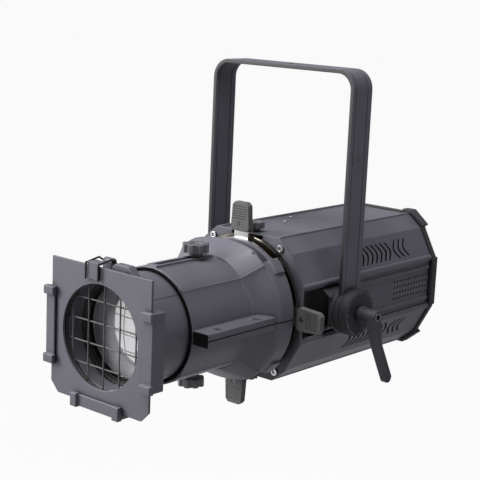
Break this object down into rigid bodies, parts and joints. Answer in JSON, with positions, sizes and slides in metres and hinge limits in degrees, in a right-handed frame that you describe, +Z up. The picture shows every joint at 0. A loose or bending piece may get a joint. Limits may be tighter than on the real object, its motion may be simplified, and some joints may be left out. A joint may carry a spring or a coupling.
{
  "type": "profile spotlight",
  "caption": "Profile spotlight with framing shutters: long faceted housing, turning barrel, sliding lens tube with colour frame, flat-bar yoke with tilt lock lever.",
  "frame": {"origin": "centre of the clamp bolt hole on the top face of the yoke's crossbar", "axes": "+Z up out of the hole, -Y the way the beam leaves, +X the side with the tilt lock lever"},
  "size_m": [0.309, 0.547, 0.421],
  "materials": {
    "bar_paint": "satin charcoal powder coat on steel bar",
    "sheet_paint": "satin charcoal powder coat on sheet steel",
    "shell_paint": "satin charcoal powder coat on aluminium",
    "cast_paint": "satin charcoal powder coat on die-cast aluminium",
    "tube_paint": "satin charcoal coat on drawn tube",
    "dark_plastic": "fine moulded grain",
    "panel_plastic": "matt black panel",
    "button_plastic": "matt grey buttons",
    "grip_plastic": "heat-proof moulding, matt",
    "blade_steel": "rolled stainless sheet",
    "fixing_steel": "bright zinc plate",
    "black_wire": "black oxide",
    "tab_steel": "grey paint",
    "bare_aluminium": "bare extrusion",
    "reflector_mirror": "polished inside",
    "lens_glass": "polished optical glass",
    "display_plastic": "gloss window",
    "board_plastic": "green laminate",
    "supply_case": "sheet case, stated as plastic so that its mass is that of a filled case",
    "emitter": "yellow phosphor on a metal core board"
  },
  "bodies": {
    "yoke": {"yoke_bar": "bar_paint", "tilt_discs": "dark_plastic", "pivot_bolt": "fixing_steel"},
    "tilt_lever": {"clamp_lever": "dark_plastic", "clamp_screw": "fixing_steel"},
    "lamp": {"front_plate": "sheet_paint", "housing_top": "shell_paint", "housing_bottom": "shell_paint", "side_plate_right": "sheet_paint", "side_plate_left": "sheet_paint", "housing_screws": "fixing_steel", "bracket_right": "sheet_paint", "bracket_left": "sheet_paint", "inner_discs": "dark_plastic", "pivot_nuts": "fixing_steel", "rear_bezel": "dark_plastic", "rear_panel": "panel_plastic", "display_window": "display_plastic", "data_sockets": "dark_plastic", "power_sockets": "dark_plastic", "chassis_tray": "bare_aluminium", "heat_sink": "bare_aluminium", "led_module": "emitter", "reflector": "reflector_mirror", "fan_frame": "dark_plastic", "power_supply": "supply_case", "control_board": "board_plastic"},
    "fan": {"fan_rotor": "dark_plastic"},
    "menu_button": {"button_menu": "button_plastic"},
    "up_button": {"button_up": "button_plastic"},
    "down_button": {"button_down": "button_plastic"},
    "enter_button": {"button_enter": "button_plastic"},
    "top_lock_knob": {"lock_knob_top": "dark_plastic"},
    "bottom_lock_knob": {"lock_knob_bottom": "dark_plastic"},
    "barrel": {"barrel_upper": "cast_paint", "barrel_lower": "cast_paint", "barrel_screws": "fixing_steel", "gate_collar": "bare_aluminium", "collar_keeper": "fixing_steel", "gate_plate": "blade_steel"},
    "top_shutter": {"blade_top": "blade_steel", "grip_top": "grip_plastic"},
    "bottom_shutter": {"blade_bottom": "blade_steel", "grip_bottom": "grip_plastic"},
    "right_shutter": {"blade_right": "blade_steel", "grip_right": "grip_plastic"},
    "left_shutter": {"blade_left": "blade_steel", "grip_left": "grip_plastic"},
    "lens": {"lens_tube": "tube_paint", "accessory_holder": "cast_paint", "front_lens": "lens_glass", "rear_lens": "lens_glass", "lens_rings": "black_wire", "safety_mesh": "black_wire", "colour_frame": "sheet_paint"},
    "top_focus_knob": {"focus_knob_top": "dark_plastic"},
    "bottom_focus_knob": {"focus_knob_bottom": "dark_plastic"},
    "frame_retainer": {"retainer_wire": "black_wire", "retainer_tab": "tab_steel"}
  },
  "joints": [
    {"name": "tilt", "type": "hinge", "parent": "yoke", "child": "lamp", "pos_m": [0, 0, -0.293], "axis": [1, 0, 0], "range_deg": [-35, 110]},
    {"name": "tilt_clamp", "type": "hinge", "parent": "yoke", "child": "tilt_lever", "pos_m": [0.13, 0, -0.293], "axis": [1, 0, 0], "range_deg": [0, 120]},
    {"name": "barrel_turn", "type": "hinge", "parent": "lamp", "child": "barrel", "pos_m": [0, -0.07, -0.293], "axis": [0, -1, 0], "range_deg": [-25, 25]},
    {"name": "focus", "type": "slide", "parent": "barrel", "child": "lens", "axis": [0, -1, 0], "range_m": [-0.01, 0.06]},
    {"name": "top_shutter_slide", "type": "slide", "parent": "barrel", "child": "top_shutter", "axis": [0, 0, 1], "range_m": [0, 0.036]},
    {"name": "bottom_shutter_slide", "type": "slide", "parent": "barrel", "child": "bottom_shutter", "axis": [0, 0, -1], "range_m": [0, 0.036]},
    {"name": "right_shutter_slide", "type": "slide", "parent": "barrel", "child": "right_shutter", "axis": [1, 0, 0], "range_m": [0, 0.036]},
    {"name": "left_shutter_slide", "type": "slide", "parent": "barrel", "child": "left_shutter", "axis": [-1, 0, 0], "range_m": [0, 0.036]},
    {"name": "top_focus_lock", "type": "hinge", "parent": "lens", "child": "top_focus_knob", "pos_m": [0, -0.162, -0.213], "axis": [0, 0, 1], "range_deg": [0, 270]},
    {"name": "bottom_focus_lock", "type": "hinge", "parent": "lens", "child": "bottom_focus_knob", "pos_m": [0, -0.162, -0.373], "axis": [0, 0, -1], "range_deg": [0, 270]},
    {"name": "top_barrel_lock", "type": "hinge", "parent": "lamp", "child": "top_lock_knob", "pos_m": [0, -0.054, -0.203], "axis": [0, 0, 1], "range_deg": [0, 270]},
    {"name": "bottom_barrel_lock", "type": "hinge", "parent": "lamp", "child": "bottom_lock_knob", "pos_m": [0, -0.054, -0.383], "axis": [0, 0, -1], "range_deg": [0, 270]},
    {"name": "frame_retainer_flip", "type": "hinge", "parent": "lens", "child": "frame_retainer", "pos_m": [-0.01, -0.29, -0.212], "axis": [-1, 0, 0], "range_deg": [0, 105]},
    {"name": "fan_spin", "type": "hinge", "parent": "lamp", "child": "fan", "pos_m": [0, 0.095, -0.293], "axis": [0, 1, 0], "continuous": true},
    {"name": "menu_press", "type": "slide", "parent": "lamp", "child": "menu_button", "axis": [0, -1, 0], "range_m": [0, 0.0012], "stiffness_N_per_m": 400, "springref_m": -0.001},
    {"name": "up_press", "type": "slide", "parent": "lamp", "child": "up_button", "axis": [0, -1, 0], "range_m": [0, 0.0012], "stiffness_N_per_m": 400, "springref_m": -0.001},
    {"name": "down_press", "type": "slide", "parent": "lamp", "child": "down_button", "axis": [0, -1, 0], "range_m": [0, 0.0012], "stiffness_N_per_m": 400, "springref_m": -0.001},
    {"name": "enter_press", "type": "slide", "parent": "lamp", "child": "enter_button", "axis": [0, -1, 0], "range_m": [0, 0.0012], "stiffness_N_per_m": 400, "springref_m": -0.001}
  ]
}
